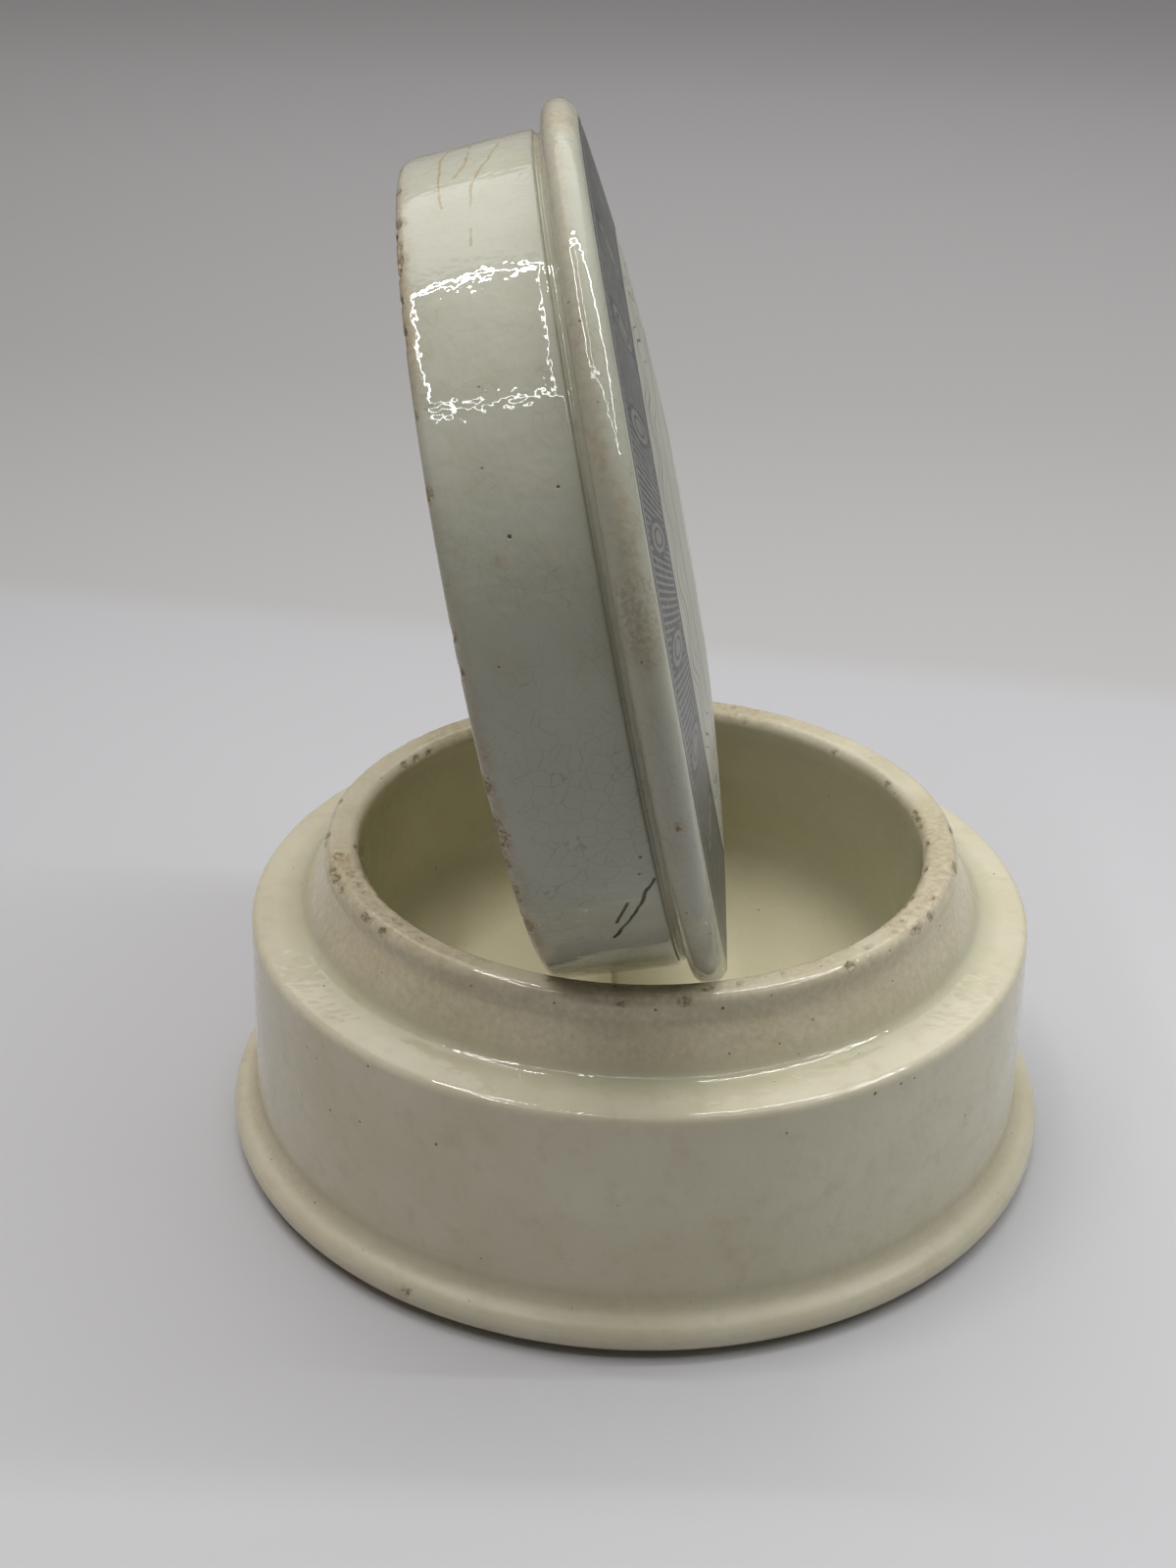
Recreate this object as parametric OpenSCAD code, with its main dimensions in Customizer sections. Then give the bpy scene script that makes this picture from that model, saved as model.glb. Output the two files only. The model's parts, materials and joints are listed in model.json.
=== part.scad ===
// Cold cream pot in glazed cream earthenware: a squat round pot and its deep lid.
// The lid stands on edge across the mouth of the pot, leaning to one side.
// Origin: centre of the pot's underside, +Z up. Lengths in millimetres.

/* [Pot body] */
// Radius of the body at the shoulder
body_top_r = 37.9; // [34:0.1:60]
// Radius of the body just above the foot
body_low_r = 38.4; // [34:0.1:60]
// Height of the shoulder's outer edge
shoulder_h = 23.9; // [20:0.1:60]
// Rise of the shoulder from its outer edge to the collar
shoulder_rise = 0.5; // [0.1:0.1:1.5]
// Rounding of the shoulder's outer edge
shoulder_round = 0.9; // [0.3:0.1:1.8]

/* [Foot] */
// How far the foot bead stands out from the body
foot_reach = 2.4; // [1.2:0.1:5]
// Radius of the foot bead's section
foot_bead_r = 1.6; // [0.8:0.1:3]
// Gap under the foot bead
foot_lift = 0.5; // [0.5:0.1:2]
// Radius of the cove above the foot bead
cove_r = 1.8; // [0.8:0.1:3]
// Width of the ring that the pot stands on
foot_ring_w = 4.5; // [2:0.1:8]
// Rounding of the ring's edges and of the hollow's corner
foot_ring_round = 0.4; // [0.1:0.1:0.5]
// Depth of the hollow inside that ring
recess_depth = 1.6; // [1:0.1:3]

/* [Collar and inside] */
// Outer radius of the collar at its foot
collar_r = 33.1; // [31:0.1:34]
// How much narrower the collar is at its rim, in radius
collar_taper = 2.5; // [0.5:0.1:3]
// Height of the collar's upright part below the rim, above the taper
collar_land = 2.4; // [2:0.1:4.5]
// Rounding between that part and the taper
land_round = 1.5; // [0.5:0.5:4]
// Height of the collar above its foot
collar_h = 6.7; // [5.5:0.1:12]
// Radius of the fillet at the collar's foot
collar_fillet = 1.5; // [0.4:0.1:3]
// Thickness of the collar's wall at its rim
collar_wall = 3.3; // [2.5:0.1:8]
// Fall of the rim from its outer to its inner edge
rim_fall = 0.3; // [0:0.1:1]
// Rounding of the rim's outer edge
rim_round_out = 1; // [0.4:0.1:1.2]
// Rounding of the rim's inner edge
rim_round_in = 1.2; // [0.4:0.1:1.2]
// Thickness of the pot's floor above the hollow
floor_t = 8.6; // [4:0.1:12]
// Rounding between the inner wall and the floor
floor_round = 8; // [2:0.5:10]

/* [Lid skirt] */
// Gap between the collar and the closed lid, on each side
collar_gap = 0.6; // [0.4:0.1:2]
// Thickness of the skirt at its open edge
skirt_wall = 3.6; // [3:0.1:7]
// Outward taper of the skirt from its open edge to the groove
skirt_taper = 0.6; // [0:0.1:1]
// Length of the skirt from its open edge to the groove
skirt_len = 12.1; // [8:0.1:20]
// Rounding of the skirt's open edge
edge_round = 0.8; // [0.3:0.1:1.5]

/* [Lid head] */
// Depth of the groove behind the lid's bead
groove_depth = 0.4; // [0.3:0.1:0.9]
// Radius of the groove's section
groove_r = 0.4; // [0.4:0.1:1.5]
// Radius of the lid bead's section
bead_r = 1.6; // [1:0.1:2.5]
// How far the lid's bead stands out from the skirt
bead_reach = 2.1; // [1:0.1:3]
// Rise of the domed face at its centre
dome_rise = 3.2; // [0.5:0.1:6]
// Thickness of the lid's top at its centre
top_t = 5.4; // [3:0.1:8]
// Rounding between the skirt and the lid's ceiling
ceiling_round = 3; // [1:0.5:5]

/* [Lid standing on edge] */
// Lean of the lid from upright
lid_lean = 11.1; // [4:0.1:14]
// Turn of the lid about the pot's axis
lid_turn = 3.3; // [-45:0.1:45]
// Gap left at the four places where the lid meets the rim
seat_gap = 0.3; // [0.2:0.05:0.6]
// Extra room for the lid's open edge, which meets the rim askew
edge_skew = 0.2; // [0.1:0.05:0.5]

/* [Hidden] */
$fn = 120;

// The corners are cut this much past the outline that they trim
trim = 1.05;

// Foot: the bead's centre and the cove that runs from it into the body
foot_r = body_low_r + foot_reach;
foot_bead_at = [foot_r - foot_bead_r, foot_lift + foot_bead_r];
cove_x = body_low_r + cove_r;
cove_at = [cove_x,
    foot_bead_at.y + sqrt((foot_bead_r + cove_r) ^ 2 - (cove_x - foot_bead_at.x) ^ 2)];
ring_r = foot_bead_at.x;
recess_r = ring_r - foot_ring_w;

// Collar and rim heights
collar_foot_h = shoulder_h + shoulder_rise;
rim_h = collar_foot_h + collar_h;
rim_r = collar_r - collar_taper;
bore_r = rim_r - collar_wall;
rim_in_h = rim_h - rim_fall;
floor_h = recess_depth + floor_t;
rim_out = [rim_r, rim_h];
rim_in = [bore_r, rim_in_h];
bore_foot = [bore_r, floor_h];

// Lid: radii, and stations along its axis from the open edge
lid_bore_r = collar_r + collar_gap;
skirt_r = lid_bore_r + skirt_wall;
skirt_top_r = skirt_r + skirt_taper;
groove_at = [skirt_top_r - groove_depth + groove_r, skirt_len];
lid_r = skirt_top_r + bead_reach;
bead_x = lid_r - bead_r;
bead_at = [bead_x,
    skirt_len + sqrt((bead_r + groove_r) ^ 2 - (bead_x - groove_at.x) ^ 2)];
face_s = bead_at.y + bead_r;
dome_r = (bead_x ^ 2 + dome_rise ^ 2) / (2 * dome_rise);
dome_at = [0, face_s + dome_rise - dome_r];
ceiling_r = dome_r - top_t;
ceiling_round_x = lid_bore_r - ceiling_round;
ceiling_round_at = [ceiling_round_x,
    dome_at.y + sqrt((ceiling_r - ceiling_round) ^ 2 - ceiling_round_x ^ 2)];

function unit(v) = v / norm(v);

// Centre of the round of radius r in the corner p between the sides towards a and b
function round_centre(p, a, b, r) =
    let (u = unit(a - p), v = unit(b - p))
    p + unit(u + v) * r / sin(acos(u * v) / 2);

// The area between the corner p and its round: taken off outside corners, added to inside ones
module corner(p, a, b, r) {
    u = unit(a - p);
    v = unit(b - p);
    reach = r / tan(acos(u * v) / 2);
    c = round_centre(p, a, b, r);
    difference() {
        polygon([for (q = [c, p + reach * u, p, p + reach * v]) c + trim * (q - c)]);
        translate(c) circle(r);
    }
}

// Half section of the pot, radius along X and height along Y
module pot_section() {
    shoulder_edge = [body_top_r, shoulder_h];
    collar_foot = [collar_r, collar_foot_h];
    land_foot = [rim_r, rim_h - collar_land];
    body_foot = [body_low_r, cove_at.y];
    ring_edge = [ring_r, 0];
    recess_edge = [recess_r, 0];
    recess_corner = [recess_r, recess_depth];

    difference() {
        union() {
            polygon([[0, 0], ring_edge, foot_bead_at, [body_low_r, foot_bead_at.y], body_foot,
                shoulder_edge, collar_foot, land_foot, rim_out, rim_in, [0, rim_in_h]]);
            translate(foot_bead_at) circle(foot_bead_r);
            difference() {
                polygon([[0, foot_bead_at.y], foot_bead_at, cove_at, [0, cove_at.y]]);
                translate(cove_at) circle(cove_r);
            }
            corner(collar_foot, land_foot, shoulder_edge, collar_fillet);
            corner(land_foot, rim_out, collar_foot, land_round);
        }
        corner(shoulder_edge, body_foot, collar_foot, shoulder_round);
        corner(rim_out, land_foot, rim_in, rim_round_out);
        difference() {
            translate([0, floor_h]) square([bore_r, rim_h]);
            corner(bore_foot, rim_in, [0, floor_h], floor_round);
        }
        corner(rim_in, bore_foot, rim_out, rim_round_in);
        difference() {
            square([recess_r, recess_depth]);
            corner(recess_corner, recess_edge, [0, recess_depth], foot_ring_round);
        }
        corner(recess_edge, recess_corner, ring_edge, foot_ring_round);
        corner(ring_edge, foot_bead_at, recess_edge, foot_ring_round);
    }
}

// Half section of the lid, radius along X and distance from the open edge along Y
module lid_section() {
    open_out = [skirt_r, 0];
    open_in = [lid_bore_r, 0];
    skirt_end = [skirt_top_r, skirt_len];
    beyond_ceiling = dome_at + dome_r * unit(ceiling_round_at - dome_at);

    difference() {
        union() {
            polygon([[0, 0], open_out, skirt_end, groove_at, bead_at, [bead_x, face_s],
                [0, face_s]]);
            translate(bead_at) circle(bead_r);
            intersection() {
                translate(dome_at) circle(dome_r, $fn = 360);
                translate([0, bead_at.y]) square([bead_x, dome_rise + bead_r]);
            }
        }
        translate(groove_at) circle(groove_r);
        corner(open_out, skirt_end, open_in, edge_round);
        corner(open_in, open_out, [lid_bore_r, ceiling_round_at.y], edge_round);
        square([lid_bore_r, ceiling_round_at.y]);
        translate(ceiling_round_at) circle(ceiling_round);
        intersection() {
            polygon([[0, 0], [ceiling_round_x, 0], ceiling_round_at, beyond_ceiling,
                [0, beyond_ceiling.y]]);
            translate(dome_at) circle(ceiling_r, $fn = 360);
        }
    }
}

// The lid's place. Its open edge and its bead each meet the rim's inner rounding in two points,
// left and right of the lid's upright plane. So both rings, grown by that rounding and by the
// seat gap, run through the circle of the rounding's centre, which gives one quadratic for
// the height of the open edge's centre.
rim_seat = round_centre(rim_in, bore_foot, rim_out, rim_round_in);
edge_seat_r = skirt_r + rim_round_in + seat_gap + edge_skew;
edge_seat_s = edge_round;
bead_seat_r = lid_r + rim_round_in + seat_gap;
bead_seat_s = bead_at.y;
lean_cos = cos(lid_lean);
lean_sin = sin(lid_lean);
seat_k = lean_cos ^ 2 * (edge_seat_r ^ 2 - bead_seat_r ^ 2 - bead_seat_s ^ 2 + edge_seat_s ^ 2)
    / (2 * (bead_seat_s - edge_seat_s));
seat_a = lean_cos ^ 2;
seat_b = -2 * seat_k * lean_sin;
seat_c = -seat_k ^ 2 - 2 * edge_seat_s * seat_k
    - lean_cos ^ 2 * (edge_seat_s ^ 2 + edge_seat_r ^ 2 - rim_seat.x ^ 2);
lid_up = (-seat_b + sqrt(seat_b ^ 2 - 4 * seat_a * seat_c)) / (2 * seat_a);
lid_across = (seat_k + lid_up * lean_sin) / lean_cos - lid_up * lean_sin / lean_cos;
lid_at = [lid_across, 0, rim_seat.y + lid_up];

module pot() {
    color("#E4DEC8") rotate_extrude() pot_section();
}

module lid() {
    color("#D9D8CC")
        rotate([0, 0, lid_turn])
        translate(lid_at)
        rotate([0, 90 - lid_lean, 0])
        rotate_extrude() lid_section();
}

pot();
lid();
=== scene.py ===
"""A cold cream pot in cream-glazed earthenware, with its deep lid standing on edge in the mouth.

Both pieces are turned forms: a half section in millimetres is spun by a Geometry Nodes tree.
The meshes are then worn and chipped, and their points keep where the glaze is bare, stained
or pooled, and where shade and fill light are painted on, which the glaze materials read.
"""
import json
import math
import random

import bmesh
import bpy
import numpy as np
from mathutils import Matrix, Vector


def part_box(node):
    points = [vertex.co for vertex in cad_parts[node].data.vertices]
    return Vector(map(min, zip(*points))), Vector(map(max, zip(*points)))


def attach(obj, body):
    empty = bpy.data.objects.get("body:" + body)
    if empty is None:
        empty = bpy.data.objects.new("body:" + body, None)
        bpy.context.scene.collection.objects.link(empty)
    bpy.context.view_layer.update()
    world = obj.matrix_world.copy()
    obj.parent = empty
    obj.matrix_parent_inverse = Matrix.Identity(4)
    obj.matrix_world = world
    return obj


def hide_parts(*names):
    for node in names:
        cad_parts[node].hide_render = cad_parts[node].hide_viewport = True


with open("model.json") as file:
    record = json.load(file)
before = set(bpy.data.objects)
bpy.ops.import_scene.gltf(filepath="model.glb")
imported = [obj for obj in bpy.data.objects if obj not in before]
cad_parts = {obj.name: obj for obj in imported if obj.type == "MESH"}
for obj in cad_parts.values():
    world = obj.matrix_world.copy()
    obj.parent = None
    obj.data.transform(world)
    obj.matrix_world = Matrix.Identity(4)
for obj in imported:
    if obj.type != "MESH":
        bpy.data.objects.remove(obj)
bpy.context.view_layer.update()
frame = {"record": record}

MM = 0.001

# Photograph and camera
PHOTO_LONG_SIDE = 1600
CAMERA_FOCAL_PX = 2218
CAMERA_AT = Vector((0, -0.1856, 0.132))
CAMERA_PITCH = math.radians(27.47)
CAMERA_YAW = math.radians(-1.60)
CAMERA_ROLL = math.radians(0.77)
SENSOR = 36.0
CLIP_START = 0.01
CLIP_END = 20

# The frame's own sizes, in millimetres
mounts = {mount["name"]: mount for mount in frame["record"]["mounts"]}
FOOT_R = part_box("pot")[1].x / MM
RIM_R = mounts["collar"]["dims"]["r_mm"]
LID_BORE_R = mounts["lid_skirt"]["dims"]["r_mm"]

# Pot section
BODY_TOP_R = 37.9
BODY_LOW_R = 38.4
SHOULDER_H = 23.9
SHOULDER_ROUND = 0.9
COLLAR_FOOT_R = 33.1
COLLAR_FOOT_H = 24.4
COLLAR_FILLET = 1.5
LAND_FOOT_H = 28.7
LAND_ROUND = 1.5
RIM_H = 31.1
RIM_IN_H = 30.8
BORE_R = 27.3
RIM_ROUND_OUT = 1.0
RIM_ROUND_IN = 1.2
FLOOR_H = 10.2
FLOOR_ROUND = 8.0
FOOT_BEAD_R = 1.6
FOOT_LIFT = 0.5
COVE_R = 1.8
FOOT_RING_W = 4.5
FOOT_RING_ROUND = 0.4
RECESS_DEPTH = 1.6

# Lid section, measured along its own axis from the open edge
SKIRT_R = 37.3
SKIRT_TOP_R = 37.9
SKIRT_LEN = 12.1
SKIRT_END_ROUND = 0.3
EDGE_ROUND = 0.8
GROOVE_R = 0.4
LID_R = 40.0
LID_BEAD_R = 1.6
DOME_RISE = 3.2
TOP_T = 5.4
CEILING_ROUND = 3.0
SKIRT_MOUNT_S = 4.5
# Where the groove's arc starts, in degrees
GROOVE_FROM = 230

# Lid's own axes in the shared frame
lid_axis = -Vector(mounts["lid_skirt"]["axis"]).normalized()
lid_origin = Vector(mounts["lid_skirt"]["pos_m"]) - lid_axis * SKIRT_MOUNT_S * MM
lid_side = Vector((0, 0, 1)).cross(lid_axis).normalized()
lid_down = lid_side.cross(lid_axis)
LID_PLACE = Matrix((lid_down, lid_side, lid_axis)).transposed().to_4x4()
LID_PLACE.translation = lid_origin

# Steps round each form
POT_TURNS = 512
LID_TURNS = 600
# Points nearer than this are one point: the seam and both poles, in metres
SEAM_GAP = 1e-6

# Outline points nearer than this in millimetres are one point, and an arc has at least so many steps
TOUCHING = 1e-5
FEWEST_STEPS = 4
# Longest steps along each outline, in millimetres
ROUND_STEP = 0.16
EDGE_STEP = 0.13
BEAD_STEP = 0.25
COLLAR_STEP = 0.3
FLOOR_ROUND_STEP = 0.7
UNDERSIDE_STEP = 3
POT_WALL_STEP = 0.6
POT_INSIDE_STEP = 1.4
CEILING_STEP = 2.2
CEILING_ROUND_STEP = 0.5
LID_WALL_STEP = 0.55
FACE_STEP = 1.6

# Kinds of node that come up often
MATH = "ShaderNodeMath"
VECTOR_MATH = "ShaderNodeVectorMath"
NOISE = "ShaderNodeTexNoise"
RANGE = "ShaderNodeMapRange"
MIX = "ShaderNodeMix"
# The colour sockets of a mix node
UNDER = 6
OVER = 7
MIXED = 2


def linear(hex_colour):
    """sRGB hex as Blender's linear colour."""
    channels = [int(hex_colour[i:i + 2], 16) / 255 for i in (1, 3, 5)]
    light = [c / 12.92 if c <= 0.04045 else ((c + 0.055) / 1.055) ** 2.4 for c in channels]
    return (*light, 1.0)


def node(tree, kind, links=None, **settings):
    """Adds one node; links maps an input to a value or to another node's output."""
    made = tree.nodes.new(kind)
    for name, value in settings.items():
        setattr(made, name, value)
    for key, value in (links or {}).items():
        socket = made.inputs[key]
        if isinstance(value, bpy.types.NodeSocket):
            tree.links.new(value, socket)
        else:
            socket.default_value = value
    return made


def arc(centre, radius, start, end, step=ROUND_STEP):
    """Points along an arc, angles in degrees."""
    count = max(FEWEST_STEPS, int(abs(math.radians(end - start)) * radius / step) + 1)
    angles = [math.radians(start + (end - start) * i / count) for i in range(count + 1)]
    x, y = centre
    return [Vector((x + radius * math.cos(a), y + radius * math.sin(a))) for a in angles]


def rounded(corner, before, after, radius, step=ROUND_STEP):
    """Points of the round in a corner, from the side of before to the side of after."""
    p = Vector(corner)
    u = (Vector(before) - p).normalized()
    v = (Vector(after) - p).normalized()
    half = u.angle(v) / 2
    centre = p + (u + v).normalized() * radius / math.sin(half)
    first = p + u * radius / math.tan(half) - centre
    last = p + v * radius / math.tan(half) - centre
    turn = first.angle(last)
    count = max(FEWEST_STEPS, int(turn * radius / step) + 1)
    points = []
    for i in range(count + 1):
        mix = first * math.sin(turn * (1 - i / count)) + last * math.sin(turn * i / count)
        points.append(centre + mix / math.sin(turn))
    return points


def filled_in(points, longest):
    """The same outline with its straight stretches cut into short steps."""
    out = [points[0]]
    for a, b in zip(points, points[1:]):
        gap = (b - a).length
        if gap < TOUCHING:
            continue
        count = max(1, math.ceil(gap / longest))
        out += [a + (b - a) * i / count for i in range(1, count + 1)]
    return out


def pot_section():
    """Half section of the pot from the middle of its underside round to the middle of its floor."""
    ring_r = FOOT_R - FOOT_BEAD_R
    recess_r = ring_r - FOOT_RING_W
    bead = (ring_r, FOOT_LIFT + FOOT_BEAD_R)
    cove_x = BODY_LOW_R + COVE_R
    cove = (cove_x, bead[1] + math.sqrt((FOOT_BEAD_R + COVE_R) ** 2 - (cove_x - bead[0]) ** 2))
    bead_to_cove = math.degrees(math.atan2(cove[1] - bead[1], cove[0] - bead[0]))
    shoulder = (BODY_TOP_R, SHOULDER_H)
    collar_foot = (COLLAR_FOOT_R, COLLAR_FOOT_H)
    land_foot = (RIM_R, LAND_FOOT_H)
    rim_out = (RIM_R, RIM_H)
    rim_in = (BORE_R, RIM_IN_H)
    recess_edge = (recess_r, 0)
    ring_edge = (ring_r, 0)
    under = [Vector((0, RECESS_DEPTH))]
    under += rounded((recess_r, RECESS_DEPTH), (0, RECESS_DEPTH), recess_edge, FOOT_RING_ROUND)
    outside = rounded(recess_edge, (recess_r, RECESS_DEPTH), ring_edge, FOOT_RING_ROUND)
    outside += rounded(ring_edge, recess_edge, bead, FOOT_RING_ROUND)
    outside += arc(bead, FOOT_BEAD_R, -90, bead_to_cove, BEAD_STEP)
    outside += arc(cove, COVE_R, bead_to_cove + 180, 180, BEAD_STEP)
    outside += rounded(shoulder, (BODY_LOW_R, cove[1]), collar_foot, SHOULDER_ROUND)
    outside += rounded(collar_foot, shoulder, land_foot, COLLAR_FILLET, COLLAR_STEP)
    outside += rounded(land_foot, collar_foot, rim_out, LAND_ROUND, COLLAR_STEP)
    outside += rounded(rim_out, land_foot, rim_in, RIM_ROUND_OUT)
    outside += rounded(rim_in, rim_out, (BORE_R, FLOOR_H), RIM_ROUND_IN)
    inside = rounded((BORE_R, FLOOR_H), rim_in, (0, FLOOR_H), FLOOR_ROUND, FLOOR_ROUND_STEP)
    inside += [Vector((0, FLOOR_H))]
    inside = filled_in([outside[-1]] + inside, POT_INSIDE_STEP)[1:]
    return filled_in(under, UNDERSIDE_STEP) + filled_in(outside, POT_WALL_STEP) + inside


def lid_section():
    """Half section of the lid from the middle of its ceiling out, round its open edge to the face."""
    groove = (SKIRT_TOP_R, SKIRT_LEN)
    skirt_end = (SKIRT_TOP_R, SKIRT_LEN - GROOVE_R)
    bead_x = LID_R - LID_BEAD_R
    bead = (bead_x, SKIRT_LEN + math.sqrt((LID_BEAD_R + GROOVE_R) ** 2 - (bead_x - groove[0]) ** 2))
    face_s = bead[1] + LID_BEAD_R
    dome_r = (bead_x ** 2 + DOME_RISE ** 2) / (2 * DOME_RISE)
    dome_y = face_s + DOME_RISE - dome_r
    ceiling_r = dome_r - TOP_T
    round_x = LID_BORE_R - CEILING_ROUND
    round_y = dome_y + math.sqrt((ceiling_r - CEILING_ROUND) ** 2 - round_x ** 2)
    lean = math.degrees(math.atan2(round_y - dome_y, round_x))
    groove_to_bead = math.degrees(math.atan2(bead[1] - groove[1], bead[0] - groove[0]))
    edge = math.degrees(math.asin(bead_x / dome_r))
    inside = arc((0, dome_y), ceiling_r, 90, lean, CEILING_STEP)
    inside += arc((round_x, round_y), CEILING_ROUND, lean, 0, CEILING_ROUND_STEP)
    open_in = (LID_BORE_R, 0)
    open_out = (SKIRT_R, 0)
    into_groove = (SKIRT_TOP_R - GROOVE_R, skirt_end[1])
    outside = rounded(open_in, (LID_BORE_R, round_y), open_out, EDGE_ROUND, EDGE_STEP)
    outside += rounded(open_out, open_in, groove, EDGE_ROUND, EDGE_STEP)
    outside += rounded(skirt_end, open_out, into_groove, SKIRT_END_ROUND, EDGE_STEP)
    outside += arc(groove, GROOVE_R, GROOVE_FROM, groove_to_bead)
    outside += arc(bead, LID_BEAD_R, groove_to_bead - 180, 90, BEAD_STEP)
    outside = filled_in([inside[-1]] + outside, LID_WALL_STEP)[1:]
    face = arc((0, dome_y), dome_r, 90 - edge, 90, FACE_STEP)
    return filled_in(inside, CEILING_STEP) + outside + face[1:]


def turning_tree():
    """Spins an outline about Z. Each turn and outline point becomes a row and column of a grid."""
    tree = bpy.data.node_groups.new("turned_form", "GeometryNodeTree")
    sockets = tree.interface
    sockets.new_socket("Outline", in_out="INPUT", socket_type="NodeSocketGeometry")
    sockets.new_socket("Turns", in_out="INPUT", socket_type="NodeSocketInt")
    sockets.new_socket("Finish", in_out="INPUT", socket_type="NodeSocketMaterial")
    sockets.new_socket("Form", in_out="OUTPUT", socket_type="NodeSocketGeometry")
    given = node(tree, "NodeGroupInput")
    outline = given.outputs["Outline"]
    counts = node(tree, "GeometryNodeAttributeDomainSize", {"Geometry": outline}, component="MESH")
    columns = node(tree, "FunctionNodeIntegerMath", {0: given.outputs["Turns"], 1: 1}, operation="ADD")
    grid = node(tree, "GeometryNodeMeshGrid", {
        "Size X": 1.0, "Size Y": 1.0,
        "Vertices X": counts.outputs["Point Count"], "Vertices Y": columns.outputs[0]})
    index = node(tree, "GeometryNodeInputIndex")
    counted = {0: index.outputs[0], 1: columns.outputs[0]}
    row = node(tree, "FunctionNodeIntegerMath", counted, operation="DIVIDE_FLOOR")
    column = node(tree, "FunctionNodeIntegerMath", counted, operation="MODULO")
    place = node(tree, "GeometryNodeInputPosition")
    picked = node(tree, "GeometryNodeSampleIndex", {"Geometry": outline, "Index": row.outputs[0]},
                  data_type="FLOAT_VECTOR", domain="POINT")
    value = [socket for socket in picked.inputs if socket.name == "Value" and socket.enabled][0]
    tree.links.new(place.outputs[0], value)
    spot = [socket for socket in picked.outputs if socket.enabled][0]
    parts = node(tree, "ShaderNodeSeparateXYZ", {0: spot})
    share = node(tree, MATH, {0: column.outputs[0], 1: given.outputs["Turns"]},
                 operation="DIVIDE")
    angle = node(tree, MATH, {0: share.outputs[0], 1: math.tau}, operation="MULTIPLY")
    cosine = node(tree, MATH, {0: angle.outputs[0]}, operation="COSINE")
    sine = node(tree, MATH, {0: angle.outputs[0]}, operation="SINE")
    x = node(tree, MATH, {0: cosine.outputs[0], 1: parts.outputs["X"]}, operation="MULTIPLY")
    y = node(tree, MATH, {0: sine.outputs[0], 1: parts.outputs["X"]}, operation="MULTIPLY")
    spun = node(tree, "ShaderNodeCombineXYZ",
                {"X": x.outputs[0], "Y": y.outputs[0], "Z": parts.outputs["Y"]})
    moved = node(tree, "GeometryNodeSetPosition",
                 {"Geometry": grid.outputs["Mesh"], "Position": spun.outputs[0]})
    closed = node(tree, "GeometryNodeMergeByDistance",
                  {"Geometry": moved.outputs[0], "Distance": SEAM_GAP})
    smooth = node(tree, "GeometryNodeSetShadeSmooth",
                  {"Geometry": closed.outputs[0], "Shade Smooth": True})
    real = node(tree, "GeometryNodeRealizeInstances", {"Geometry": smooth.outputs[0]})
    dressed = node(tree, "GeometryNodeSetMaterial",
                   {"Geometry": real.outputs[0], "Material": given.outputs["Finish"]})
    node(tree, "NodeGroupOutput", {"Form": dressed.outputs[0]})
    return tree


def turned(name, section, turns, material, tree):
    """Spins a half section given in millimetres into one plain mesh in metres."""
    outline = bpy.data.meshes.new(name + "_outline")
    steps = [(i, i + 1) for i in range(len(section) - 1)]
    outline.from_pydata([(p.x * MM, p.y * MM, 0) for p in section], steps, [])
    piece = bpy.data.objects.new(name, outline)
    bpy.context.scene.collection.objects.link(piece)
    spin = piece.modifiers.new("turned_form", "NODES")
    spin.node_group = tree
    for item in tree.interface.items_tree:
        if item.name == "Turns":
            spin[item.identifier] = turns
        if item.name == "Finish":
            spin[item.identifier] = material
    bpy.context.view_layer.update()
    spun = piece.evaluated_get(bpy.context.evaluated_depsgraph_get())
    whole = bpy.data.meshes.new_from_object(spun)
    piece.modifiers.remove(spin)
    piece.data = whole
    bpy.data.meshes.remove(outline)
    form = bmesh.new()
    form.from_mesh(whole)
    bmesh.ops.recalc_face_normals(form, faces=form.faces)
    if form.calc_volume(signed=True) < 0:
        bmesh.ops.reverse_faces(form, faces=form.faces)
    form.to_mesh(whole)
    form.free()
    return piece


def points_of(mesh):
    """The mesh's points in millimetres."""
    points = np.empty(len(mesh.vertices) * 3)
    mesh.vertices.foreach_get("co", points)
    return points.reshape(-1, 3) / MM


def store(mesh, name, values):
    """Keeps one number, or one place, for each point of the mesh."""
    kind = "FLOAT_VECTOR" if values.ndim == 2 else "FLOAT"
    attribute = mesh.attributes.new(name, kind, "POINT")
    attribute.data.foreach_set("vector" if values.ndim == 2 else "value", values.ravel())


def ramp_up(values, low, high):
    """0 below low, 1 above high, smooth between."""
    share = np.clip((values - low) / (high - low), 0, 1)
    return share * share * (3 - 2 * share)


# Brings the waves of a drift, which seldom all meet, up to about -1 to 1
DRIFT_GAIN = 1.6


def drift(angle, seed, waves=(2, 3, 5, 8, 13, 21), fall=0.75):
    """A closed random curve round the turn, from about -1 to 1."""
    rng = random.Random(seed)
    total = np.zeros_like(angle)
    size = 0
    for i, wave in enumerate(waves):
        total += fall ** i * np.sin(wave * angle + rng.uniform(0, math.tau))
        size += fall ** i
    return total / size * DRIFT_GAIN


# Lumps in a chip: height as a share of the scoop, and waves along X, Y and Z in radians per millimetre
CHIP_LUMPS = 0.012
LUMP_WAVES = np.array((5.1, 3.7, 6.3))
# The glaze's broken border, as a share of the chip's depth
CHIP_BORDER = 0.35


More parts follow.
